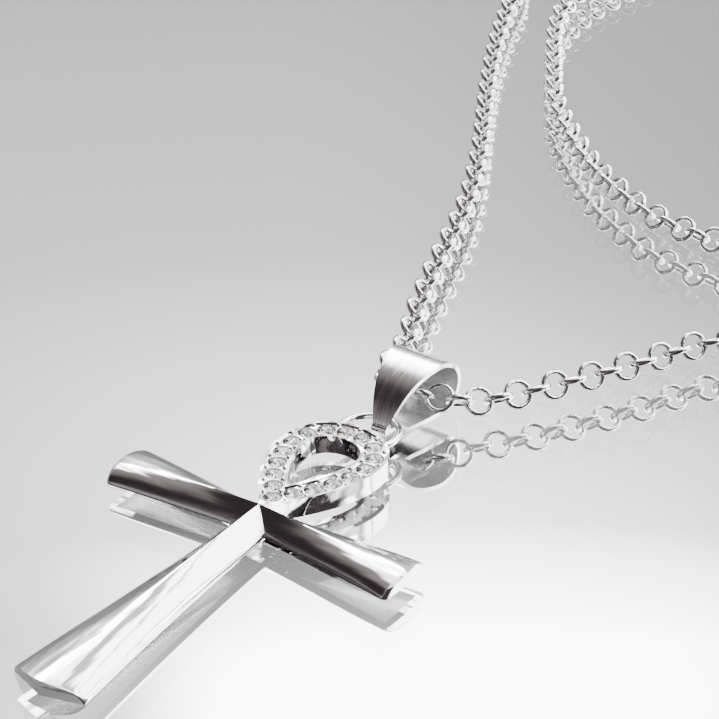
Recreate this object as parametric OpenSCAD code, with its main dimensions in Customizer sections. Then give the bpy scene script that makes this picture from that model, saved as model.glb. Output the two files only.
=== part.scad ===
// Ankh pendant on a fine round-link chain: a cast cross with a stone-set teardrop
// loop and an eyelet, a folded sheet bail, a row of round brilliant stones, the
// chain as it lies, and its clasp. It lies on its back, the crossing over the origin.

/* [Cross] */
// Width across the two arms
arm_span = 25; // [20:0.5:32]
// Length of the shaft from the crossing to its end
shaft_len = 22.5; // [17:0.1:28]
// Width of an arm where it leaves the crossing
arm_root_w = 2.3; // [1.8:0.1:2.8]
// Width of an arm at its end
arm_end_w = 4.7; // [3.8:0.1:5.6]
// Width of the shaft where it leaves the crossing
shaft_root_w = 2.8; // [2.2:0.1:3.4]
// Width of the shaft at its end
shaft_end_w = 6.1; // [4.8:0.1:7]
// Height of the sharp ridges where they meet at the crossing
ridge_h = 1.7; // [1.62:0.01:2]
// Height of the thin edge all round the limbs
edge_h = 0.14; // [0.1:0.01:0.2]
// Height of the low dome at the end of an arm
arm_dome_h = 1.05; // [0.95:0.05:1.3]
// Height of the low dome at the end of the shaft
shaft_dome_h = 1.4; // [1:0.05:1.5]
// Radius of the corners at the end of an arm
arm_corner_r = 0.45; // [0.2:0.05:1]
// Radius of the corners at the end of the shaft
shaft_corner_r = 0.35; // [0.2:0.05:1]
// How far the end edge of an arm bows out
arm_bow = 0.1; // [0:0.05:0.4]
// How far the end edge of the shaft bows out
shaft_bow = 0.8; // [0:0.05:1]
// Wall left where the back of the casting is hollowed
cast_t = 0.5; // [0.4:0.05:0.6]
// Half width of the block left solid behind the crossing
solid_back = 1.4; // [1.2:0.1:2]

/* [Teardrop loop] */
// Length of the teardrop from its point to its far end
loop_len = 12.3; // [11:0.1:14]
// Width of the teardrop
loop_w = 8.6; // [7.6:0.1:10]
// Height of the teardrop's top over its back
loop_h = 1.5; // [1.4:0.05:1.6]
// Width of the band that carries the stones
band_w = 2.05; // [1.9:0.05:2.3]
// Width of the bright rim on each edge of the band
rim_w = 0.2; // [0.15:0.01:0.26]
// How deep the field of the stones lies below the rims
field_drop = 0.14; // [0.08:0.01:0.2]
// Thickness of the plate that the stones sit in
plate_t = 0.62; // [0.5:0.01:0.7]
// Wall on each side of the channel below that plate
channel_t = 0.4; // [0.3:0.05:0.5]

/* [Stones] */
// Diameter of a stone at its girdle
stone_d = 1.36; // [1.2:0.01:1.4]
// Diameter of the beads of metal that hold the stones
bead_d = 0.38; // [0.3:0.01:0.42]
// Clearance between a stone and its seat
seat_gap = 0.03; // [0.02:0.01:0.06]

/* [Eyelet] */
// Diameter of the eyelet to the middle of its wire
eyelet_d = 4.5; // [4.2:0.05:4.9]
// Diameter of the eyelet's wire
eyelet_wire = 0.52; // [0.45:0.01:0.6]
// How far the eyelet's centre lies past the end of the teardrop
eyelet_past = 0.7; // [0.5:0.05:1]

/* [Bail] */
// Thickness of the bail's sheet
sheet_t = 0.33; // [0.25:0.01:0.4]
// Diameter over the outside of the bail's crown
crown_d = 4.34; // [4:0.02:5]
// Distance from the crown's axis to the middle of the bail's tip
bail_reach = 4.6; // [4.4:0.05:5.2]
// Width of the bail at its crown
crown_w = 5.2; // [4.5:0.05:6.5]
// Width of the tip of the bail's upper wing
tip_w = 1.3; // [1:0.05:2]
// Width of the square end of the bail's lower wing
foot_w = 3.1; // [2.6:0.05:4.2]
// Length of the lower wing's narrow tongue under the eyelet
tongue_len = 1.3; // [1.1:0.05:1.5]
// Height of the tip over the middle of the tongue
tip_rise = 0.42; // [0.36:0.01:0.5]
// Clearance of the eyelet's wire over the tongue
eyelet_gap = 0.06; // [0.04:0.01:0.1]
// Gap between the tip and the eyelet's inside at its far end
tip_gap = 0.75; // [0.7:0.05:0.9]
// Clearance of the bail over the surface it lies on
rest_gap = 0.02; // [0.01:0.01:0.05]
// How far the bail hangs to the right of the eyelet's middle
bail_shift = 0.25; // [0:0.05:0.4]

/* [Chain] */
// Outside diameter of one round link
link_d = 2.4; // [2.2:0.05:2.5]
// Thickness of a link's flattened wire, from the outside of the ring to its hole
link_t = 0.4; // [0.34:0.01:0.42]
// Width of that wire along the axis of the ring
link_w = 0.5; // [0.42:0.01:0.54]
// Length of the clasp over its rounded ends
clasp_len = 9; // [7:0.5:12]
// Width of the clasp
clasp_w = 4; // [3.4:0.1:5]
// Thickness of the clasp
clasp_t = 0.6; // [0.5:0.05:0.8]
// Width of the metal round the clasp's opening
clasp_rim = 0.6; // [0.5:0.05:0.8]
// Gap between the chain's last link and the clasp
clasp_gap = 0.3; // [0.2:0.05:0.5]

/* [Hidden] */
STONES = 17;
// How far a cut runs past the face it opens
CUT = 1;

silver = [0.86, 0.86, 0.88];
dull_silver = [0.78, 0.78, 0.8];
crystal = [0.93, 0.95, 0.98];

function mix(a, b, t) = a + (b - a) * t;
function sum(v, n) = n <= 0 ? 0 : v[n - 1] + sum(v, n - 1);
// The middle of a ring, halfway between the middles of its top and its bottom.
function middle(ring) = (ring[len(ring) / 2 - 2] + ring[len(ring) - 2]) / 2;

// A closed body through a list of like rings, each cap a fan round its own middle.
module skin(rings) {
    n = len(rings[0]);
    m = len(rings);
    polyhedron(
        points = concat([for (ring = rings) each ring], [middle(rings[0]), middle(rings[m - 1])]),
        faces = concat(
            [for (j = [0:m - 2], i = [0:n - 1]) [j * n + i, j * n + (i + 1) % n, (j + 1) * n + (i + 1) % n]],
            [for (j = [0:m - 2], i = [0:n - 1]) [j * n + i, (j + 1) * n + (i + 1) % n, (j + 1) * n + i]],
            [for (i = [0:n - 1]) [m * n, (i + 1) % n, i]],
            [for (i = [0:n - 1]) [m * n + 1, (m - 1) * n + i, (m - 1) * n + (i + 1) % n]]));
}

// Form of the limbs: how ridge and dome swell from side to side, how fast the one
// softens into the other, how the crest falls, how the ends bow out and roll over
// at the last, and how arms and shaft flare.
SWELL = 0.95;
DOME = 0.55;
SOFTEN = 1.25;
FALL = 0.9;
BOW_IN = 6;
PILLOW = 0.1;
PILLOW_IN = 14;
ARM_FLARE = 1.1;
SHAFT_FLARE = 1.4;

// Height of a limb's top across its width: a gable at the root, a low dome at the end.
function rise(u, soft) = mix(pow(1 - abs(u), SWELL), pow(1 - u * u, DOME), soft);
function softness(s) = min(1, SOFTEN * s);
function crest(dome_h, s) = mix(ridge_h, dome_h, pow(s, FALL)) * (1 - PILLOW * pow(s, PILLOW_IN));
function limb_half(root_w, end_w, flare, s) = mix(root_w, end_w, pow(s, flare)) / 2;

// One cross-section of a limb that runs along X, u from one side wall to the other.
ACROSS = 14;
function section(x, half, rim, top, soft, bow) = concat(
    [for (i = [0:ACROSS]) let (u = -1 + 2 * i / ACROSS)
        [x - bow * u * u, half * u, rim + (top - rim) * rise(u, soft)]],
    [[x - bow, half, 0], [x, 0, 0], [x - bow, -half, 0]]);

// Stations along a limb as shares of its length, then of the turn of its corners.
ALONG = [0.045, 0.095, 0.15, 0.22, 0.3, 0.4, 0.5, 0.6, 0.7, 0.8, 0.9];
TURNS = [0, 18, 36, 54, 72, 86];

// The stations of a limb as [place, half width], the corners turned at its end.
function stations(length, root_w, end_w, flare, r) = concat(
    [for (s = ALONG) [s * (length - r), limb_half(root_w, end_w, flare, s)]],
    [for (a = TURNS) [length - r + r * sin(a), end_w / 2 - r + r * cos(a)]]);

// The sections of one limb from its root to its end.
function limb(length, root_w, end_w, dome_h, flare, bow, r) =
    [for (p = stations(length, root_w, end_w, flare, r)) let (s = p[0] / length)
        section(p[0], p[1], edge_h, crest(dome_h, s), softness(s), bow * pow(s, BOW_IN))];

// The same sections drawn in by the wall, for the hollow of the back.
HOLLOW = [0, 0.1, 0.25, 0.45, 0.65, 0.85, 1];
HOLLOW_ACROSS = 8;
// Height of the hollow at its sides
HOLLOW_RIM = 0.15;
// Metal left above the hollow, in wall thicknesses, and share of an end's bow left there
ROOF = 1.2;
END_IN = 0.75;
function hollow(length, root_w, end_w, dome_h, flare, bow) =
    [for (k = HOLLOW) let (x = mix(solid_back, length - cast_t - END_IN * bow, k), s = x / length,
        half = limb_half(root_w, end_w, flare, s) - cast_t, top = crest(dome_h, s) - ROOF * cast_t)
        concat(
            [for (i = [0:HOLLOW_ACROSS]) let (u = -1 + 2 * i / HOLLOW_ACROSS)
                [x, half * u, HOLLOW_RIM + (top - HOLLOW_RIM) * rise(u, softness(s))]],
            [[x, half, -CUT], [x, 0, -CUT], [x, -half, -CUT]])];

function backwards(v) = [for (i = [len(v) - 1:-1:0]) v[i]];

// Both arms are one run of sections from the left end to the right end.
module arms() {
    right = limb(arm_span / 2, arm_root_w, arm_end_w, arm_dome_h, ARM_FLARE, arm_bow, arm_corner_r);
    left = [for (ring = backwards(right)) [for (p = ring) [-p[0], p[1], p[2]]]];
    middle = [section(0, arm_root_w / 2, edge_h, ridge_h, 0, 0)];
    skin(concat(left, middle, right));
}

// The shaft starts past the crossing, in the tip of the teardrop, narrower and lower
// there. At the crossing it stays a hair inside the arms, so that no faces coincide.
START = 0.5;
START_IN = 0.33;
START_DOWN = 0.2;
HAIR = 0.03;
module shaft() {
    start = section(-START, shaft_root_w / 2 - START_IN, edge_h, ridge_h - START_DOWN, 0, 0);
    middle = section(0, shaft_root_w / 2 - HAIR, edge_h, ridge_h - HAIR, 0, 0);
    run = limb(shaft_len, shaft_root_w, shaft_end_w, shaft_dome_h, SHAFT_FLARE, shaft_bow, shaft_corner_r);
    rotate([0, 0, -90]) skin(concat([start, middle], run));
}

module limb_hollows() {
    arm = hollow(arm_span / 2, arm_root_w, arm_end_w, arm_dome_h, ARM_FLARE, arm_bow);
    for (a = [0, 180]) rotate([0, 0, a]) skin(arm);
    rotate([0, 0, -90])
        skin(hollow(shaft_len, shaft_root_w, shaft_end_w, shaft_dome_h, SHAFT_FLARE, shaft_bow));
}

// The teardrop: x and y of its outline for an angle a from 0 to 180. The widest
// place of sin(a)^2 cos(a) is 2 / (3 sqrt 3).
DROP_K = loop_w / 2 * 3 * sqrt(3) / 2;
function drop(a) = [DROP_K * pow(sin(a), 2) * cos(a), loop_len * pow(sin(a), 2)];
function drop_way(a) = let (v = [DROP_K * sin(a) * (2 * pow(cos(a), 2) - pow(sin(a), 2)),
    2 * loop_len * sin(a) * cos(a)]) v / norm(v);
// A point drawn in from the outline by d; the outline runs anticlockwise.
function drop_in(a, d) = let (w = drop_way(a)) drop(a) + d * [-w[1], w[0]];

module drop_area(inset) {
    offset(delta = -inset) polygon([for (a = [0:2:178]) drop(a)]);
}

module drop_band(inset, width) {
    difference() {
        drop_area(inset);
        drop_area(inset + width);
    }
}

// The middle line of the band, from its own tip round and back, and its length.
LINE_IN = band_w / 2;
TIP_Y = LINE_IN / sin(atan(DROP_K / loop_len));
LINE = concat([[0, TIP_Y]],
    [for (a = [1:1:179]) let (p = drop_in(a, LINE_IN)) if (p[0] * cos(a) >= 0 && p[1] > TIP_Y) p],
    [[0, TIP_Y]]);
STEPS = [for (i = [1:len(LINE) - 1]) norm(LINE[i] - LINE[i - 1])];
LINE_LEN = sum(STEPS, len(STEPS));
// Step to each side that the direction of a line is taken over
STEP = 0.1;
// The point at a distance along the middle line.
function along(d, i = 0) = i >= len(STEPS) - 1 || d <= STEPS[i]
    ? mix(LINE[i], LINE[i + 1], d / STEPS[i])
    : along(d - STEPS[i], i + 1);
function place(k) = let (d = k * LINE_LEN / STONES) along(d - LINE_LEN * floor(d / LINE_LEN));
function heading(k) = let (v = place(k + STEP) - place(k - STEP)) atan2(v[1], v[0]);

// Cut of a stone, its parts as shares of its girdle's diameter.
TABLE = 0.57;
STAR = 0.79;
CROWN = 0.15;
STAR_UP = 0.6;
GIRDLE = 0.03;
PAVILION = 0.43;
HALVES = 0.3;
HALVES_DOWN = 0.72;
// How far a girdle's middle lies below the field, and the hole under a stone
SUNK = 0.02;
CULET_HOLE = 0.5;
girdle_z = loop_h - field_drop - SUNK;
seat_d = stone_d + 2 * seat_gap;

function facet_ring(d, z, n, turn) =
    [for (i = [0:n - 1]) [d / 2 * cos(turn + i * 360 / n), d / 2 * sin(turn + i * 360 / n), z]];

// A round brilliant: table, star and kite facets above, mains and halves below.
module brilliant(d) {
    table = facet_ring(TABLE * d, (GIRDLE / 2 + CROWN) * d, 8, 0);
    star = facet_ring(STAR * d, (GIRDLE / 2 + CROWN * STAR_UP) * d, 8, 22.5);
    upper = facet_ring(d, GIRDLE / 2 * d, 16, 0);
    lower = facet_ring(d, -GIRDLE / 2 * d, 16, 0);
    halves = facet_ring(HALVES * d, -(GIRDLE / 2 + PAVILION * HALVES_DOWN) * d, 8, 22.5);
    culet = [[0, 0, -d * (GIRDLE / 2 + PAVILION)]];
    // Where each ring starts in the list of points
    t = 0;
    s = 8;
    g = 16;
    l = 32;
    h = 48;
    c = 56;
    polyhedron(
        points = concat(table, star, upper, lower, halves, culet),
        faces = concat(
            [[for (i = [7:-1:0]) t + i]],
            [for (i = [0:7]) [t + i, t + (i + 1) % 8, s + i]],
            [for (i = [0:7]) [t + i, s + i, g + 2 * i]],
            [for (i = [0:7]) [t + i, g + 2 * i, s + (i + 7) % 8]],
            [for (i = [0:7]) [s + i, g + 2 * i + 1, g + 2 * i]],
            [for (i = [0:7]) [s + i, g + (2 * i + 2) % 16, g + 2 * i + 1]],
            [for (i = [0:15]) [g + i, g + (i + 1) % 16, l + (i + 1) % 16]],
            [for (i = [0:15]) [g + i, l + (i + 1) % 16, l + i]],
            [for (i = [0:7]) [l + 2 * i, l + 2 * i + 1, h + i]],
            [for (i = [0:7]) [l + 2 * i + 1, l + (2 * i + 2) % 16, h + i]],
            [for (i = [0:7]) [l + 2 * i, h + i, c]],
            [for (i = [0:7]) [l + 2 * i, c, h + (i + 7) % 8]]));
}

module stone(k) {
    color(crystal)
        translate([place(k)[0], place(k)[1], girdle_z]) rotate([0, 0, heading(k)]) brilliant(stone_d);
}

// A seat: straight round the girdle, a cone below it and a hole under the culet.
SEAT_SIDES = 16;
CONE_H = 0.3;
module seat() {
    ledge = girdle_z - GIRDLE * stone_d;
    hole_r = CULET_HOLE * stone_d / 2;
    rotate_extrude($fn = SEAT_SIDES) polygon([[0, 0], [hole_r, 0], [hole_r, ledge - CONE_H],
        [seat_d / 2, ledge], [seat_d / 2, loop_h + CUT], [0, loop_h + CUT]]);
}

module seats() {
    for (k = [0:STONES - 1]) translate([place(k)[0], place(k)[1], 0]) rotate([0, 0, heading(k)]) seat();
}

// How far a bead reaches into the rim beside it
BEAD_BITE = 0.05;
BEAD_OUT = band_w / 2 - rim_w - bead_d / 2 + BEAD_BITE;
module bead() {
    sphere(d = bead_d, $fn = 8);
}

// A pair in each gap between stones, but one alone inside the point of the teardrop.
module beads() {
    for (k = [0:STONES - 1], side = [-1, 1]) if (side < 0 || k > 0 && k < STONES - 1)
        translate([place(k + 0.5)[0], place(k + 0.5)[1], girdle_z]) rotate([0, 0, heading(k + 0.5)])
            translate([0, side * BEAD_OUT, 0]) bead();
    translate([0, TIP_Y + (stone_d + bead_d) / 2 + seat_gap, girdle_z]) bead();
}

module teardrop() {
    difference() {
        linear_extrude(height = loop_h) drop_band(0, band_w);
        translate([0, 0, loop_h - field_drop]) linear_extrude(height = CUT)
            drop_band(rim_w, band_w - 2 * rim_w);
        translate([0, 0, -CUT]) linear_extrude(height = CUT + loop_h - field_drop - plate_t)
            drop_band(channel_t, band_w - 2 * channel_t);
        seats();
    }
    beads();
}

eyelet_y = loop_len + eyelet_past;
foot_z = rest_gap + sheet_t / 2;
eyelet_z = foot_z + sheet_t / 2 + eyelet_gap + eyelet_wire / 2;

// The eyelet is soldered into the far end of the teardrop and left out inside it.
module eyelet() {
    difference() {
        translate([0, eyelet_y, eyelet_z]) rotate_extrude($fn = 64)
            translate([eyelet_d / 2, 0]) circle(d = eyelet_wire, $fn = 16);
        translate([0, 0, -CUT]) linear_extrude(height = loop_h + 2 * CUT) drop_area(channel_t / 2);
    }
}

module ankh_body() {
    color(silver) {
        difference() {
            union() {
                arms();
                shaft();
            }
            limb_hollows();
        }
        teardrop();
        eyelet();
    }
}

// The bail's middle line in the plane of Y and Z: tongue, foot, crown, upper wing.
tip_y = eyelet_y + eyelet_d / 2 - eyelet_wire / 2 - tip_gap;
crown_y = tip_y + bail_reach;
crown_r = crown_d / 2 - sheet_t / 2;
crown_z = foot_z + crown_r;
tip_z = foot_z + tip_rise;
shoulder_y = tip_y + tongue_len;
// The crown ends a little past its top. The wing bows out from there to the steep
// tip: the handles of its curve as shares of the way between its two ends.
CROWN_TO = 97;
WING_TOP = [crown_y + crown_r * cos(CROWN_TO), crown_z + crown_r * sin(CROWN_TO)];
WING_TIP = [tip_y, tip_z];
TOP_HANDLE = 0.45;
TIP_HANDLE = 0.4;
TIP_RISE_A = 66;
WING_WAY = norm(WING_TOP - WING_TIP);
WING = [WING_TOP, WING_TOP + TOP_HANDLE * WING_WAY * [-sin(CROWN_TO), cos(CROWN_TO)],
    WING_TIP + TIP_HANDLE * WING_WAY * [cos(TIP_RISE_A), sin(TIP_RISE_A)], WING_TIP];
function bezier(p, t) = let (r = 1 - t)
    r * r * r * p[0] + 3 * r * r * t * p[1] + 3 * r * t * t * p[2] + t * t * t * p[3];
FOOT_STEPS = 4;
CROWN_STEPS = 26;
WING_STEPS = 16;
BAIL_LINE = concat(
    [for (i = [0:FOOT_STEPS - 1]) [mix(shoulder_y, crown_y, i / FOOT_STEPS), foot_z]],
    [for (i = [0:CROWN_STEPS]) let (a = mix(-90, CROWN_TO, i / CROWN_STEPS))
        [crown_y + crown_r * cos(a), crown_z + crown_r * sin(a)]],
    [for (i = [1:WING_STEPS]) bezier(WING, i / WING_STEPS)]);
BAIL_STEPS = [for (i = [1:len(BAIL_LINE) - 1]) norm(BAIL_LINE[i] - BAIL_LINE[i - 1])];
BAIL_LEN = sum(BAIL_STEPS, len(BAIL_STEPS));
// Half width of the sheet at a place along it: widest at the back of the crown, it
// narrows steadily to the tip and stays broad towards the foot.
TIP_FLARE = 1.2;
FOOT_FLARE = 2.4;
function bail_half(d) = let (k = 2 * d / BAIL_LEN - 1)
    (k < 0 ? mix(crown_w, foot_w, pow(-k, FOOT_FLARE)) : mix(crown_w, tip_w, pow(k, TIP_FLARE))) / 2;
function bail_normal(i) = let (a = max(i - 1, 0), b = min(i + 1, len(BAIL_LINE) - 1),
    v = BAIL_LINE[b] - BAIL_LINE[a]) [-v[1], v[0]] / norm(v);
function sheet_ring(p, n, half) = let (o = p + n * sheet_t / 2, q = p - n * sheet_t / 2)
    [[half, o[0], o[1]], [-half, o[0], o[1]], [-half, q[0], q[1]], [half, q[0], q[1]]];

// The tongue runs under the eyelet's wire and is rolled up into the tip inside it.
TONGUE_LAP = 0.3;
ROLL_IN = 0.02;
module bail() {
    color(silver) translate([bail_shift, 0, 0]) {
        skin([for (i = [0:len(BAIL_LINE) - 1])
            sheet_ring(BAIL_LINE[i], bail_normal(i), bail_half(sum(BAIL_STEPS, i)))]);
        translate([-tip_w / 2, tip_y, foot_z - sheet_t / 2])
            cube([tip_w, tongue_len + TONGUE_LAP, sheet_t]);
        translate([-tip_w / 2, tip_y, (foot_z + tip_z) / 2]) rotate([0, 90, 0])
            cylinder(d = tip_rise + sheet_t - ROLL_IN, h = tip_w, $fn = 24);
    }
}

// The chain lies with its links rolled halfway over, each the other way to the last.
ROLL = 45;
lying_z = rest_gap + (link_d - link_t) / 2 * sin(ROLL) + norm([link_t * sin(ROLL), link_w * cos(ROLL)]) / 2;
chain_d = 2 * (lying_z - rest_gap);

// Where the middle of the chain runs from the clasp's right end round to its left
// end: x, y past the axis of the bail's crown, and the height over its lying height.
// It rises through the bail.
CHAIN_ROUTE = [
    [-42.5, 132.6, 0], [-36, 129, 0], [-31, 123.2, 0], [-28.6, 115.2, 0], [-28.7, 106.2, 0],
    [-30.2, 97.7, 0], [-31.4, 89.2, 0], [-32, 81.2, 0], [-31, 73.5, 0], [-28, 66.2, 0], [-23.5, 58.7, 0],
    [-19, 51.7, 0], [-14, 46.2, 0], [-8.5, 41.2, 0], [-4, 38.2, 0], [1, 35.7, 0], [7.5, 34.7, 0],
    [14, 35.7, 0], [20.5, 39.2, 0], [27.5, 43.2, 0], [35, 43.7, 0], [40.8, 39.2, 0], [40.8, 32.2, 0],
    [34.5, 27.2, 0], [27, 25.7, 0], [20.5, 23.2, 0], [15.2, 19.5, 0], [12.1, 13.7, 0], [9.1, 8.4, 0],
    [6.7, 4.5, 0], [5.7, 3.1, 0], [4.6, 1.8, 0.05], [3.7, 0.8, 0.3], [2.7, -0.2, 0.7], [1.3, -0.6, 0.85],
    [-0.4, -0.55, 0.85], [-2.1, -0.15, 0.75], [-3.35, 1.2, 0.5], [-3.85, 3.5, 0.15], [-4.8, 6, 0],
    [-6.1, 8.8, 0], [-7.4, 11.6, 0], [-9.6, 16.9, 0], [-11.4, 21.7, 0], [-13.5, 27.2, 0], [-16.3, 33.2, 0],
    [-19.5, 39.2, 0], [-23.3, 45.7, 0], [-27.3, 52.7, 0], [-31.3, 60.2, 0], [-35.3, 68.7, 0],
    [-38.7, 76.7, 0], [-43.5, 83.7, 0], [-50, 88.7, 0], [-58, 93.2, 0], [-65.5, 99.7, 0],
    [-70.5, 108.2, 0], [-71, 117.7, 0], [-67, 126, 0], [-61, 131.2, 0], [-57.5, 132.8, 0]];
CLASP_AT = [-50, crown_y + 133.2];
CHAIN_RINGS = 80;
CHAIN_SIDES = 10;
chain_end = clasp_len / 2 + clasp_gap;
CHAIN_LINE = concat(
    [[CLASP_AT[0] + chain_end, CLASP_AT[1], lying_z]],
    [for (p = CHAIN_ROUTE) [p[0], crown_y + p[1], p[2] + lying_z]],
    [[CLASP_AT[0] - chain_end, CLASP_AT[1], lying_z]]);

// A smooth curve through all the points of a line, t counting them.
function curve(v, t) = let (n = len(v), i = min(n - 2, floor(t)), f = t - i,
    a = v[max(0, i - 1)], b = v[i], c = v[i + 1], d = v[min(n - 1, i + 2)])
    b + f * ((c - a) / 2 + f * (a - 2.5 * b + 2 * c - d / 2 + f * (1.5 * (b - c) + (d - a) / 2)));
function curve_way(v, t) =
    let (w = curve(v, min(len(v) - 1, t + STEP)) - curve(v, max(0, t - STEP))) w / norm(w);
function round_ring(p, way, d, n) =
    let (side = cross([0, 0, 1], way), out = side / norm(side), up = cross(way, out))
    [for (i = [0:n - 1]) p + d / 2 * (cos(i * 360 / n) * out - sin(i * 360 / n) * up)];

module chain() {
    color(dull_silver) skin([for (i = [0:CHAIN_RINGS - 1])
        let (t = (len(CHAIN_LINE) - 1) * i / (CHAIN_RINGS - 1))
        round_ring(curve(CHAIN_LINE, t), curve_way(CHAIN_LINE, t), chain_d, CHAIN_SIDES)]);
}

module slot(length, w) {
    for (side = [-1, 1]) translate([side * (length - w) / 2, 0]) circle(d = w, $fn = 48);
    square([length - w, w], center = true);
}

// A plain closed oval. The chain's last links go round its rim and hold it up.
module clasp() {
    color(silver) translate([CLASP_AT[0], CLASP_AT[1], lying_z - clasp_t / 2])
        linear_extrude(height = clasp_t) difference() {
            slot(clasp_len, clasp_w);
            slot(clasp_len - 2 * clasp_rim, clasp_w - 2 * clasp_rim);
        }
}

ankh_body();
bail();
chain();
clasp();
for (k = [1:STONES]) {
    stone(k - 1);
}
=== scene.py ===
from bisect import bisect_right
from math import atan2, cos, pi, radians, sin, sqrt

import bmesh
import bpy
from mathutils import Matrix, Vector


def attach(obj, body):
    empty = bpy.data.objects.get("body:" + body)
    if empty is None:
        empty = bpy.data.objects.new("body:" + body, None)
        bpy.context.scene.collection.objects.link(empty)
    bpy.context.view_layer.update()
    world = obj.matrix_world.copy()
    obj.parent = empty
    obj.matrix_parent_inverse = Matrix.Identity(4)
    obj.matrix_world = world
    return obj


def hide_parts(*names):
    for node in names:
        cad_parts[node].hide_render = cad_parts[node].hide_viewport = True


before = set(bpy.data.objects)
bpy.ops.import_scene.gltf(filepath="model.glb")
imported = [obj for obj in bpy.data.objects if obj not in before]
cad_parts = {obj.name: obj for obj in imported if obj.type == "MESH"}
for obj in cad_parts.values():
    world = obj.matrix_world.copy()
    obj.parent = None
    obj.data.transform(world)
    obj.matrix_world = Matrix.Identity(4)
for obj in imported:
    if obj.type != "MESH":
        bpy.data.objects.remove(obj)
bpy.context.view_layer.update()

# The table and the light. The pendant lies on a thin clear sheet over a mirror, in a light
# tent, and is seen over its right arm. The tent's lit and dark parts draw its reflections.
EYE = Vector((0.07977, -0.09613, 0.08784))
AZIMUTH, ELEVATION, ROLL = radians(36.40), radians(30.91), radians(-1.16)
SENSOR_WIDTH, LENS, NEAREST = 36, 109.16, 0.005
bpy.ops.object.camera_add(location=EYE)
camera = bpy.context.object
camera.name = "camera"
camera.matrix_world = (Matrix.Translation(EYE) @ Matrix.Rotation(AZIMUTH, 4, "Z")
                       @ Matrix.Rotation(pi / 2 - ELEVATION, 4, "X") @ Matrix.Rotation(ROLL, 4, "Z"))
camera.data.sensor_width = SENSOR_WIDTH
camera.data.lens = LENS
camera.data.clip_start = NEAREST
bpy.context.scene.camera = camera

FLOOR_SIZE, FLOOR_Y = 6, 0.5
SHEET_Z, MIRROR_Z = -0.00003, -0.0024


def floor_plane(name, z, finish, colour, sockets):
    """One plane of the floor, perfectly smooth, with the rest of its finish in sockets."""
    bpy.ops.mesh.primitive_plane_add(size=FLOOR_SIZE, location=(0, FLOOR_Y, z))
    plane = bpy.context.object
    plane.name = name
    material = bpy.data.materials.new(finish)
    material.use_nodes = True
    shader = material.node_tree.nodes["Principled BSDF"]
    shader.inputs["Base Color"].default_value = colour
    shader.inputs["Roughness"].default_value = 0
    for socket, value in sockets.items():
        shader.inputs[socket].default_value = value
    plane.data.materials.append(material)
    return plane


sheet_top = floor_plane("table_top", SHEET_Z, "clear_sheet", (1, 1, 1, 1),
                        {"IOR": 1.5, "Transmission Weight": 1})
table = floor_plane("table", MIRROR_Z, "pale_gloss", (0.93, 0.935, 0.93, 1), {"Metallic": 1})

# Height on the tent's wall, from the horizon at 0 to straight overhead at 1, and the light there.
METAL_LOW_WALLS = [(0, 0.3), (0.2, 0.42), (0.34, 0.82)]
FLOOR_LOW_WALLS = [(0, 5), (0.09, 3.2), (0.26, 1.4), (0.345, 0.84)]
HIGH_WALLS = [(0.47, 1.25), (0.5, 1.75), (0.53, 2.4), (0.575, 3.4), (0.61, 9), (0.65, 22), (0.76, 14),
              (0.83, 5), (1, 2.5)]
WALL_BLUE = 1.01
# Azimuth, elevation, radius and softness in degrees, then colour. Each lies over the last.
METAL_PATCHES = [
    (66, 30, 41, 2, (1.25, 1.15, 1.18)),
    (64, 27, 33, 4, (9, 9, 9)),
    (64, 27, 24, 1, (1.9, 1.85, 1.85)),
    (64, 27, 21, 2, (8, 8, 8)),
    (-56, 28, 50, 6, (0.06, 0.05, 0.05)),
    (-146, 42, 42, 7, (0.34, 0.29, 0.29)),
    (-138, 36, 27, 13, (0.13, 0.105, 0.108)),
    (-135, 34, 16, 12, (0.035, 0.028, 0.03))]
FLOOR_PATCHES = [
    (151, 40, 11, 9, (1.1, 1.1, 1.08)),
    (139.5, 41.5, 3.2, 4, (0.35, 0.35, 0.34)),
    (105, 19, 12, 11, (0.55, 0.55, 0.56))]
world = bpy.data.worlds.new("tent")
bpy.context.scene.world = world
world.use_nodes = True
tent = world.node_tree
look = tent.nodes.new("ShaderNodeTexCoord")
heights = tent.nodes.new("ShaderNodeSeparateXYZ")
tent.links.new(look.outputs["Generated"], heights.inputs[0])


def tent_walls(levels):
    """The tent's light by height. levels runs from the horizon to straight overhead."""
    slope = tent.nodes.new("ShaderNodeValToRGB")
    tent.links.new(heights.outputs["Z"], slope.inputs[0])
    stops = slope.color_ramp.elements
    for height, level in levels:
        stop = stops[0] if height == 0 else stops[-1] if height == 1 else stops.new(height)
        stop.color = (level, level, level * WALL_BLUE, 1)
    return slope.outputs["Color"]


def tent_patch(under, azimuth, elevation, radius, soft, colour):
    """A lit or dark part of the tent round one direction, azimuth counted from +X."""
    near = tent.nodes.new("ShaderNodeVectorMath")
    near.operation = "DOT_PRODUCT"
    near.inputs[1].default_value = (cos(radians(elevation)) * cos(radians(azimuth)),
                                    cos(radians(elevation)) * sin(radians(azimuth)), sin(radians(elevation)))
    tent.links.new(look.outputs["Generated"], near.inputs[0])
    edge = tent.nodes.new("ShaderNodeMapRange")
    edge.interpolation_type = "SMOOTHSTEP"
    edge.inputs["From Min"].default_value = cos(radians(radius + soft))
    edge.inputs["From Max"].default_value = cos(radians(radius - soft))
    tent.links.new(near.outputs["Value"], edge.inputs["Value"])
    blend = tent.nodes.new("ShaderNodeMix")
    blend.data_type = "RGBA"
    blend.inputs["B"].default_value = (*colour, 1)
    tent.links.new(edge.outputs["Result"], blend.inputs["Factor"])
    tent.links.new(under, blend.inputs["A"])
    return blend.outputs["Result"]


def tent_light(low_walls, patches):
    """The whole tent: its walls by height, with its lit and dark parts laid over them."""
    light = tent_walls(low_walls + HIGH_WALLS)
    for patch in patches:
        light = tent_patch(light, *patch)
    return light


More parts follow.
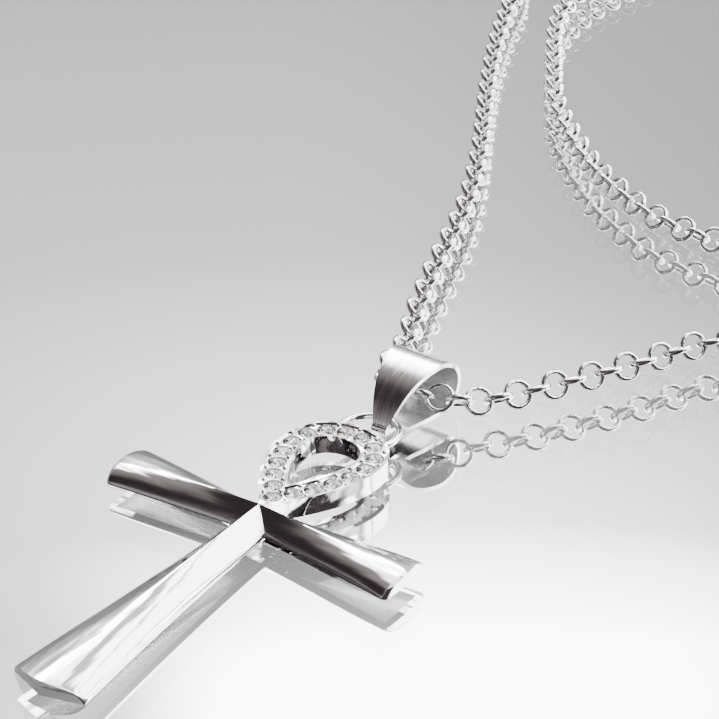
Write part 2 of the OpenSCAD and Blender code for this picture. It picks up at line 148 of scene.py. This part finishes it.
def math_node(tree, operation, *sources):
    """A Math node's result, each of its sources a socket or a plain number."""
    node = tree.nodes.new("ShaderNodeMath")
    node.operation = operation
    for socket, source in zip(node.inputs, sources):
        if isinstance(source, (int, float)):
            socket.default_value = source
        else:
            tree.links.new(source, socket)
    return node.outputs[0]


# The floor's version of the tent is for the camera's own rays, and for rays that went through
# the clear sheet and met one mirror at most. All other rays get the metal's version.
path = tent.nodes.new("ShaderNodeLightPath")
through_sheet = math_node(tent, "GREATER_THAN", path.outputs["Transmission Depth"], 0.5)
one_mirror = math_node(tent, "LESS_THAN", path.outputs["Glossy Depth"], 1.5)
by_floor = math_node(tent, "MULTIPLY_ADD", through_sheet, one_mirror, path.outputs["Is Camera Ray"])
seen = tent.nodes.new("ShaderNodeMix")
seen.data_type = "RGBA"
tent.links.new(by_floor, seen.inputs["Factor"])
tent.links.new(tent_light(METAL_LOW_WALLS, METAL_PATCHES), seen.inputs["A"])
tent.links.new(tent_light(FLOOR_LOW_WALLS, FLOOR_PATCHES), seen.inputs["B"])
tent.links.new(seen.outputs["Result"], tent.nodes["Background"].inputs["Color"])

# The casting: arms, shaft, teardrop and eyelet in one piece of cast silver, polished to a
# mirror in front, filed flat at the shaft's end and left as cast in its hollow back.
LINES_FROM, LINES_TO = 0.3, 0.75  # where in its noise a line starts to dull the metal, and dulls it most
SHAFT_RIPPLES, SHAFT_LINES = (800, 160, 500), (9000, 500, 3000)
ARM_RIPPLES, ARM_LINES = (160, 800, 500), (500, 9000, 3000)


def buffing():
    """Hand buffing: long low ripples and fine lines along the wheel's way, and faint clouding."""
    group = bpy.data.node_groups.new("buffing", "ShaderNodeTree")
    for way, sockets in (
            ("INPUT", (("Ripple place", "Vector"), ("Line place", "Vector"), ("Line depth", "Float"),
                       ("Polish", "Float"), ("Haze", "Float"), ("Bright", "Color"), ("Cloud", "Color"))),
            ("OUTPUT", (("Colour", "Color"), ("Roughness", "Float"), ("Height", "Float")))):
        for name, kind in sockets:
            group.interface.new_socket(name=name, in_out=way, socket_type=f"NodeSocket{kind}")
    take, give = group.nodes.new("NodeGroupInput"), group.nodes.new("NodeGroupOutput")
    ripple, line = group.nodes.new("ShaderNodeTexNoise"), group.nodes.new("ShaderNodeTexNoise")
    for noise, place, detail in ((ripple, "Ripple place", 1.5), (line, "Line place", 3)):
        noise.inputs["Scale"].default_value = 1
        noise.inputs["Detail"].default_value = detail
        group.links.new(take.outputs[place], noise.inputs["Vector"])
    lift = math_node(group, "MULTIPLY_ADD", line.outputs["Fac"], take.outputs["Line depth"],
                     ripple.outputs["Fac"])
    group.links.new(lift, give.inputs["Height"])
    dull = group.nodes.new("ShaderNodeMapRange")
    dull.inputs["From Min"].default_value = LINES_FROM
    dull.inputs["From Max"].default_value = LINES_TO
    group.links.new(take.outputs["Polish"], dull.inputs["To Min"])
    group.links.new(take.outputs["Haze"], dull.inputs["To Max"])
    group.links.new(line.outputs["Fac"], dull.inputs["Value"])
    group.links.new(dull.outputs["Result"], give.inputs["Roughness"])
    clouding = group.nodes.new("ShaderNodeMix")
    clouding.data_type = "RGBA"
    group.links.new(ripple.outputs["Fac"], clouding.inputs["Factor"])
    group.links.new(take.outputs["Bright"], clouding.inputs["A"])
    group.links.new(take.outputs["Cloud"], clouding.inputs["B"])
    group.links.new(clouding.outputs["Result"], give.inputs["Colour"])
    return group


wheel_marks = buffing()


def buffed(name, bright, cloud, ripples, lines, depth, wave, polish, haze):
    """Polished metal. ripples and lines count its marks per metre along X, Y and Z, depth is a
    line's share of a ripple's height, wave, and its roughness runs from polish to haze."""
    metal = bpy.data.materials.new(name)
    metal.use_nodes = True
    nodes, links = metal.node_tree.nodes, metal.node_tree.links
    face = nodes["Principled BSDF"]
    face.inputs["Metallic"].default_value = 1
    place = nodes.new("ShaderNodeTexCoord")
    marks = nodes.new("ShaderNodeGroup")
    marks.name = "Wheel marks"
    marks.node_tree = wheel_marks
    for socket, value in (("Line depth", depth), ("Polish", polish), ("Haze", haze),
                          ("Bright", (*bright, 1)), ("Cloud", (*cloud, 1))):
        marks.inputs[socket].default_value = value
    for socket, counts in (("Ripple place", ripples), ("Line place", lines)):
        spread = nodes.new("ShaderNodeMapping")
        spread.name = socket
        spread.inputs["Scale"].default_value = counts
        links.new(place.outputs["Object"], spread.inputs["Vector"])
        links.new(spread.outputs["Vector"], marks.inputs[socket])
    bump = nodes.new("ShaderNodeBump")
    bump.inputs["Distance"].default_value = wave
    links.new(marks.outputs["Height"], bump.inputs["Height"])
    links.new(marks.outputs["Colour"], face.inputs["Base Color"])
    links.new(marks.outputs["Roughness"], face.inputs["Roughness"])
    links.new(bump.outputs["Normal"], face.inputs["Normal"])
    return metal


limb_silver = buffed("limb_silver", bright=(0.95, 0.95, 0.955), cloud=(0.86, 0.85, 0.855),
                     ripples=SHAFT_RIPPLES, lines=SHAFT_LINES, depth=0.014, wave=0.00018, polish=0.03,
                     haze=0.12)
# The arms are buffed along their own length, across the shaft's way.
limbs = limb_silver.node_tree
place = limbs.nodes.new("ShaderNodeTexCoord")
apart = limbs.nodes.new("ShaderNodeSeparateXYZ")
limbs.links.new(place.outputs["Object"], apart.inputs[0])
on_arms = math_node(limbs, "GREATER_THAN", math_node(limbs, "ABSOLUTE", apart.outputs["X"]),
                    math_node(limbs, "ABSOLUTE", apart.outputs["Y"]))
for socket, counts in (("Ripple place", ARM_RIPPLES), ("Line place", ARM_LINES)):
    crosswise = limbs.nodes.new("ShaderNodeMapping")
    crosswise.inputs["Scale"].default_value = counts
    limbs.links.new(place.outputs["Object"], crosswise.inputs["Vector"])
    turn = limbs.nodes.new("ShaderNodeMix")
    turn.data_type = "VECTOR"
    limbs.links.new(on_arms, turn.inputs["Factor"])
    limbs.links.new(limbs.nodes[socket].outputs["Vector"], turn.inputs["A"])
    limbs.links.new(crosswise.outputs["Vector"], turn.inputs["B"])
    limbs.links.new(turn.outputs["Result"], limbs.nodes["Wheel marks"].inputs[socket])

HOLLOWS_AT, GRAINS_AT = 0.35, 0.65  # where in the noise the metal is darkest and lightest
GRAIN_GREEN = 1.01


def unpolished(name, low, high, grains, relief, dullness=(0.28, 0.52)):
    """Metal that the wheel doesn't reach: a fine grain, lighter on its grains than between them."""
    metal = bpy.data.materials.new(name)
    metal.use_nodes = True
    nodes, links = metal.node_tree.nodes, metal.node_tree.links
    face = nodes["Principled BSDF"]
    face.inputs["Metallic"].default_value = 1
    place, grain = nodes.new("ShaderNodeTexCoord"), nodes.new("ShaderNodeTexNoise")
    grain.inputs["Scale"].default_value = grains
    grain.inputs["Detail"].default_value = 5
    links.new(place.outputs["Object"], grain.inputs["Vector"])
    tone = nodes.new("ShaderNodeValToRGB")
    for stop, at, level in zip(tone.color_ramp.elements, (HOLLOWS_AT, GRAINS_AT), (low, high)):
        stop.position, stop.color = at, (level, level * GRAIN_GREEN, level, 1)
    links.new(grain.outputs["Fac"], tone.inputs[0])
    links.new(tone.outputs["Color"], face.inputs["Base Color"])
    dull = nodes.new("ShaderNodeMapRange")
    dull.inputs["To Min"].default_value, dull.inputs["To Max"].default_value = dullness
    links.new(grain.outputs["Fac"], dull.inputs["Value"])
    links.new(dull.outputs["Result"], face.inputs["Roughness"])
    bump = nodes.new("ShaderNodeBump")
    bump.inputs["Distance"].default_value = relief
    links.new(grain.outputs["Fac"], bump.inputs["Height"])
    links.new(bump.outputs["Normal"], face.inputs["Normal"])
    return metal


WELD, FLAT_QUAD, SKEWED_QUAD = 2e-7, radians(12), radians(60)
CREASE_FROM, CREASE_OVER, SMOOTH_TO = radians(26), radians(12), radians(28)


def fine_copy(node_name, name, levels):
    """A merged copy of a CAD node, its soft places rounded out and its edges kept."""
    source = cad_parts[node_name]
    copy = source.copy()
    copy.data = source.data.copy()
    copy.parent = None
    copy.name = name
    bpy.context.collection.objects.link(copy)
    bpy.ops.object.select_all(action="DESELECT")
    copy.select_set(True)
    bpy.context.view_layer.objects.active = copy
    bpy.ops.object.mode_set(mode="EDIT")
    bpy.ops.mesh.select_all(action="SELECT")
    bpy.ops.mesh.remove_doubles(threshold=WELD)
    bpy.ops.mesh.tris_convert_to_quads(face_threshold=FLAT_QUAD, shape_threshold=SKEWED_QUAD)
    bpy.ops.object.mode_set(mode="OBJECT")
    mesh = bmesh.new()
    mesh.from_mesh(copy.data)
    crease = mesh.edges.layers.float.new("crease_edge")
    for edge in mesh.edges:
        edge[crease] = min(1, max(0, (edge.calc_face_angle(pi) - CREASE_FROM) / CREASE_OVER))
    mesh.to_mesh(copy.data)
    mesh.free()
    rounding = copy.modifiers.new("rounding", "SUBSURF")
    rounding.levels = rounding.render_levels = levels
    rounding.use_limit_surface = False
    bpy.ops.object.modifier_apply(modifier="rounding")
    bpy.ops.object.shade_smooth_by_angle(angle=SMOOTH_TO)
    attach(copy, "root")
    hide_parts(node_name)
    return copy


def dress(piece, *materials):
    """Gives a piece its materials, the first of them all over."""
    piece.data.materials.clear()
    for material in materials:
        piece.data.materials.append(material)


BACK_TILT, RIM_Z = -0.25, 0.00005  # the hollow back faces down, above the rim that touches the table
END_TILT, END_Y = -0.75, -0.0215  # the shaft's end faces -Y
casting = fine_copy("ankh_body", "casting", 1)
dress(casting, limb_silver, unpolished("cast_silver", 0.46, 0.68, 5200, 0.00005),
      unpolished("filed_silver", 0.88, 0.96, 9000, 0.00001, (0.5, 0.65)))
for face in casting.data.polygons:
    if face.normal.z < BACK_TILT and face.center.z > RIM_Z:
        face.material_index = 1
    elif face.normal.y < END_TILT and face.center.y < END_Y:
        face.material_index = 2

# The bail: one strip of silver sheet folded round the chain. Its lower wing lies under the
# eyelet and its upper wing narrows to a tip that dips into it. It is buffed along the strip
# outside, and dull inside the fold.
FOLD_MIDDLE = Vector((0.00025, 0.0174, 0.0019))
SIDE_TILT, INSIDE = 0.6, 0.0003  # the strip's cut sides face along X, its inside the fold's middle
sheet_bail = fine_copy("bail", "bail_sheet", 2)
dress(sheet_bail,
      buffed("sheet_silver", bright=(0.95, 0.95, 0.955), cloud=(0.85, 0.83, 0.84), ripples=(620, 90, 90),
             lines=(9000, 700, 700), depth=0.02, wave=0.00013, polish=0.12, haze=0.3),
      unpolished("fold_silver", 0.8, 0.96, 3600, 0.00004))
for face in sheet_bail.data.polygons:
    if abs(face.normal.x) < SIDE_TILT and face.normal.dot(FOLD_MIDDLE - face.center) > INSIDE:
        face.material_index = 1

# The chain: round links of flattened wire, each turned a quarter round from the last and
# passed through it. It lies loose on the sheet, runs through the bail and closes at the clasp.
# Lengths are in millimetres.
MM = 0.001
LINK_D, LINK_T, LINK_W, LINK_PITCH = 2.4, 0.4, 0.5, 1.556
LEAN, TABLE_GAP = 45, 0.02
LYING = (TABLE_GAP + (LINK_D - LINK_T) / 2 * sin(radians(LEAN))
         + sqrt(LINK_T ** 2 + LINK_W ** 2) / 2 * sin(radians(LEAN)))
DRAWN = 0.34  # how far the middle of the loose chain is drawn back along its run
CROWN_Y = 18.84
CLASP_X, CLASP_Y, CLASP_HALF, CLASP_GAP, END_LINK = -50, CROWN_Y + 133.2, 4.5, 0.3, 4.37
TIP, TIP_LIFT = 13, 0.13  # degrees that the chain is tipped over right of the bail, and what that lifts it
TIP_FROM, TIP_IN, TIP_TO, TIP_OUT = 5, 3, 34, 6  # it tips over along X, and back
TIP_Y = CROWN_Y + 30  # where it is tipped over no more, whatever its X
SAMPLES, HALF_AIM = 6000, 0.4  # points on the run's curve, and how far each way a link's direction is taken
# X, Y counted from the bail's crown, and how far the chain is lifted there.
ROUTE = [
    (-42.5, 132.6, 0), (-36, 129, 0), (-31, 123.2, 0), (-28.6, 115.2, 0), (-28.7, 106.2, 0),
    (-30.2, 97.7, 0), (-31.4, 89.2, 0), (-32, 81.2, 0), (-31, 73.5, 0), (-28, 66.2, 0), (-23.5, 58.7, 0),
    (-19, 51.7, 0), (-14, 46.2, 0), (-8.5, 41.2, 0), (-4, 38.2, 0), (1, 35.7, 0), (7.5, 34.7, 0),
    (14, 35.7, 0), (20.5, 39.2, 0), (27.5, 43.2, 0), (35, 43.7, 0), (40.8, 39.2, 0), (40.8, 32.2, 0),
    (34.5, 27.2, 0), (27, 25.7, 0), (20.5, 23.2, 0), (15.2, 19.5, 0), (12.1, 13.7, 0), (9.1, 8.4, 0),
    (6.7, 4.5, 0), (5.7, 3.1, 0), (4.6, 1.8, 0.05), (3.7, 0.8, 0.3), (2.7, -0.2, 0.7), (1.3, -0.6, 0.85),
    (-0.4, -0.55, 0.85), (-2.1, -0.15, 0.75), (-3.35, 1.2, 0.5), (-3.85, 3.5, 0.15), (-4.8, 6, 0),
    (-6.1, 8.8, 0), (-7.4, 11.6, 0), (-9.6, 16.9, 0), (-11.4, 21.7, 0), (-13.5, 27.2, 0), (-16.3, 33.2, 0),
    (-19.5, 39.2, 0), (-23.3, 45.7, 0), (-27.3, 52.7, 0), (-31.3, 60.2, 0), (-35.3, 68.7, 0),
    (-38.7, 76.7, 0), (-43.5, 83.7, 0), (-50, 88.7, 0), (-58, 93.2, 0), (-65.5, 99.7, 0),
    (-70.5, 108.2, 0), (-71, 117.7, 0), (-67, 126, 0), (-61, 131.2, 0), (-57.5, 132.8, 0)]


def curve_point(points, t):
    """A point on the smooth curve through the points, t counting them from 0."""
    i = min(len(points) - 2, int(t))
    f = t - i
    a, b = points[max(0, i - 1)], points[i]
    c, d = points[i + 1], points[min(len(points) - 1, i + 2)]
    return b + f * ((c - a) / 2 + f * (a - 2.5 * b + 2 * c - d / 2 + f * (1.5 * (b - c) + (d - a) / 2)))


def run_lengths(points):
    """How far along the line that joins the points each of them lies."""
    lengths = [0]
    for a, b in zip(points, points[1:]):
        lengths.append(lengths[-1] + (b - a).length)
    return lengths


def point_along(points, lengths, distance):
    """The place on that line at a distance along it, or the line's end past its ends."""
    distance = min(max(distance, 0), lengths[-1])
    k = min(bisect_right(lengths, distance), len(lengths) - 1)
    return points[k - 1].lerp(points[k], (distance - lengths[k - 1]) / (lengths[k] - lengths[k - 1]))


def tipped(spot):
    """How far the chain is tipped over at a spot, from 0 to 1."""
    if spot.y >= TIP_Y:
        return 0
    return min(1, max(0, (spot.x - TIP_FROM) / TIP_IN)) * min(1, max(0, (TIP_TO - spot.x) / TIP_OUT))


def joined_copies(model, places, name):
    """One piece made of a copy of the model at each place. The model itself is taken away."""
    copies = []
    for place in places:
        copy = model.copy()
        copy.data = model.data.copy()
        copy.data.transform(place)
        bpy.context.collection.objects.link(copy)
        copies.append(copy)
    bpy.data.objects.remove(model)
    bpy.ops.object.select_all(action="DESELECT")
    for copy in copies:
        copy.select_set(True)
    bpy.context.view_layer.objects.active = copies[0]
    bpy.ops.object.join()
    piece = bpy.context.object
    piece.name = name
    return piece


guides = ([Vector((CLASP_X + CLASP_HALF + CLASP_GAP, CLASP_Y, LYING))]
          + [Vector((x, CROWN_Y + y, LYING + up)) for x, y, up in ROUTE]
          + [Vector((CLASP_X - CLASP_HALF - CLASP_GAP, CLASP_Y, LYING))])
trail = ([Vector((CLASP_X + END_LINK, CLASP_Y, LYING))]
         + [curve_point(guides, (len(guides) - 1) * k / SAMPLES) for k in range(SAMPLES + 1)]
         + [Vector((CLASP_X - END_LINK, CLASP_Y, LYING))])
trail_lengths = run_lengths(trail)
gaps = round(trail_lengths[-1] / LINK_PITCH)
link_places = []
for k in range(gaps + 1):
    at = trail_lengths[-1] * k / gaps - DRAWN * sin(pi * k / gaps)
    spot = point_along(trail, trail_lengths, at)
    way = (point_along(trail, trail_lengths, at + HALF_AIM)
           - point_along(trail, trail_lengths, at - HALF_AIM)).normalized()
    side = Vector((0, 0, 1)).cross(way).normalized()
    lean = radians((LEAN if k % 2 else -LEAN) - TIP * tipped(spot))
    face = cos(lean) * side + sin(lean) * way.cross(side)
    spot.z += TIP_LIFT * tipped(spot)
    link_places.append(Matrix.Translation(spot * MM)
                       @ Matrix((way, face, way.cross(face))).transposed().to_4x4())
bpy.ops.mesh.primitive_torus_add(major_segments=16, minor_segments=6, major_radius=(LINK_D - LINK_T) / 2 * MM,
                                 minor_radius=LINK_T / 2 * MM)
link = bpy.context.object
bpy.ops.object.mode_set(mode="EDIT")
bpy.ops.mesh.select_all(action="SELECT")
bpy.ops.transform.resize(value=(1, 1, LINK_W / LINK_T), center_override=(0, 0, 0))
bpy.ops.object.mode_set(mode="OBJECT")
bpy.ops.object.shade_smooth()
chain_links = joined_copies(link, link_places, "chain_links")
dress(chain_links,
      buffed("chain_silver", bright=(0.95, 0.95, 0.955), cloud=(0.82, 0.81, 0.81), ripples=(450, 450, 450),
             lines=(6000, 6000, 6000), depth=0.02, wave=0.00003, polish=0.08, haze=0.2))
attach(chain_links, "root")
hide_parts("chain")

# The clasp: one plain closed oval of silver wire that both end links pass round. The wire is
# rubbed along its length, so its fine lines run along the oval's long sides.
dress(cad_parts["clasp"],
      buffed("clasp_silver", bright=(0.94, 0.94, 0.945), cloud=(0.84, 0.83, 0.83), ripples=(300, 300, 300),
             lines=(1500, 7000, 9000), depth=0.02, wave=0.00005, polish=0.12, haze=0.28))

# The stones: seventeen round cut crystals in one row round the teardrop, each sunk in a seat
# of its own. Their colour is painted with clear, grey, bluish and amber flecks, a painted
# sparkle of glints, dark flashes and coloured fire in place of the light that their facets break.
STONES = 17
# The crystal's index of refraction, and how many flecks of painted sparkle its colour has per metre.
CRYSTAL_IOR, PAINTED_SPARKLE_PER_METRE = 2.15, 3300
# The painted sparkle's colours, each from where it starts in the noise: painted bluish fire, painted white
# glints, painted grey dark flashes and painted amber fire.
PAINTED_SPARKLE_COLOURS = [(0, (0.62, 0.74, 0.95)), (0.1, (0.9, 0.9, 0.91)), (0.5, (0.78, 0.78, 0.8)),
                (0.9, (1, 0.8, 0.62))]
crystal = bpy.data.materials.new("crystal")
crystal.use_nodes = True
face = crystal.node_tree.nodes["Principled BSDF"]
face.inputs["Transmission Weight"].default_value = 1
face.inputs["Roughness"].default_value = 0
face.inputs["IOR"].default_value = CRYSTAL_IOR
nodes, links = crystal.node_tree.nodes, crystal.node_tree.links
# Voronoi cells fleck each stone's colour with the painted sparkle: painted glints, dark flashes and fire.
place, painted_sparkle = nodes.new("ShaderNodeTexCoord"), nodes.new("ShaderNodeTexVoronoi")
painted_sparkle.inputs["Scale"].default_value = PAINTED_SPARKLE_PER_METRE
links.new(place.outputs["Object"], painted_sparkle.inputs["Vector"])
split, tone = nodes.new("ShaderNodeSeparateColor"), nodes.new("ShaderNodeValToRGB")
links.new(painted_sparkle.outputs["Color"], split.inputs[0])
tone.color_ramp.interpolation = "CONSTANT"
for k, (at, colour) in enumerate(PAINTED_SPARKLE_COLOURS):
    stop = tone.color_ramp.elements[k] if k < 2 else tone.color_ramp.elements.new(at)
    stop.position, stop.color = at, (*colour, 1)
links.new(split.outputs["Red"], tone.inputs[0])
links.new(tone.outputs["Color"], face.inputs["Base Color"])
for k in range(1, STONES + 1):
    dress(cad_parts[f"stone_{k}"], crystal)

# The setting: two round beads of silver raised in each gap between stones, only the outer one
# in the gaps by the teardrop's point, and one alone inside that point. They are burnished
# bright and hold the stones by their edges. Lengths are in millimetres.
LOOP_LEN, LOOP_W, BAND_W, RIM_W = 12.3, 8.6, 2.05, 0.2
STONE_D, BEAD_D, BEAD_Z = 1.36, 0.4, 1.35
BEAD_ROOM, RIM_LAP, POINT_GAP = 0.38, 0.05, 0.03  # a bead's room, its lap on the rim, its gap by the point
BEAD_OUT = BAND_W / 2 - RIM_W - BEAD_ROOM / 2 + RIM_LAP
AIM_FROM, AIM_TO = 0.4, 0.6  # a gap's direction is taken from just before its middle to just after
drop_k = LOOP_W / 2 * 3 * sqrt(3) / 2  # makes the teardrop's curve LOOP_W wide
tip_y = BAND_W / 2 / sin(atan2(drop_k, LOOP_LEN))  # where the middle line's two sides meet
# The row's middle line lies half the band's width inside the teardrop's outer edge.
middle_line = [Vector((0, tip_y))]
for degree in range(1, 180):
    a = radians(degree)
    edge = Vector((drop_k * sin(a) ** 2 * cos(a), LOOP_LEN * sin(a) ** 2))
    way = Vector((drop_k * sin(a) * (2 * cos(a) ** 2 - sin(a) ** 2), 2 * LOOP_LEN * sin(a) * cos(a)))
    way.normalize()
    at = edge + BAND_W / 2 * Vector((-way[1], way[0]))
    if at[0] * cos(a) >= 0 and at[1] > tip_y:
        middle_line.append(at)
middle_line.append(Vector((0, tip_y)))
row_lengths = run_lengths(middle_line)


def row_place(k):
    """The place on the row's middle line of stone k, or between two stones where k isn't whole."""
    return point_along(middle_line, row_lengths, k % STONES * row_lengths[-1] / STONES)


bead_places = [Vector((0, tip_y + (STONE_D + BEAD_ROOM) / 2 + POINT_GAP))]
for k in range(STONES):
    way = (row_place(k + AIM_TO) - row_place(k + AIM_FROM)).normalized()
    for inward in (-1, 1):
        if inward < 0 or 0 < k < STONES - 1:
            bead_places.append(row_place(k + 0.5) + inward * BEAD_OUT * Vector((-way[1], way[0])))
bpy.ops.mesh.primitive_uv_sphere_add(segments=14, ring_count=8, radius=BEAD_D / 2 * MM)
bead = bpy.context.object
bpy.ops.object.shade_smooth()
bead_shifts = [Matrix.Translation((at[0] * MM, at[1] * MM, BEAD_Z * MM)) for at in bead_places]
setting_beads = joined_copies(bead, bead_shifts, "setting_beads")
dress(setting_beads, buffed("burnished_silver", bright=(0.97, 0.97, 0.975), cloud=(0.9, 0.9, 0.9),
                            ripples=(1500, 1500, 1500), lines=(9000, 9000, 9000), depth=0.02, wave=0.00001,
                            polish=0.1, haze=0.22))
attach(setting_beads, "root")
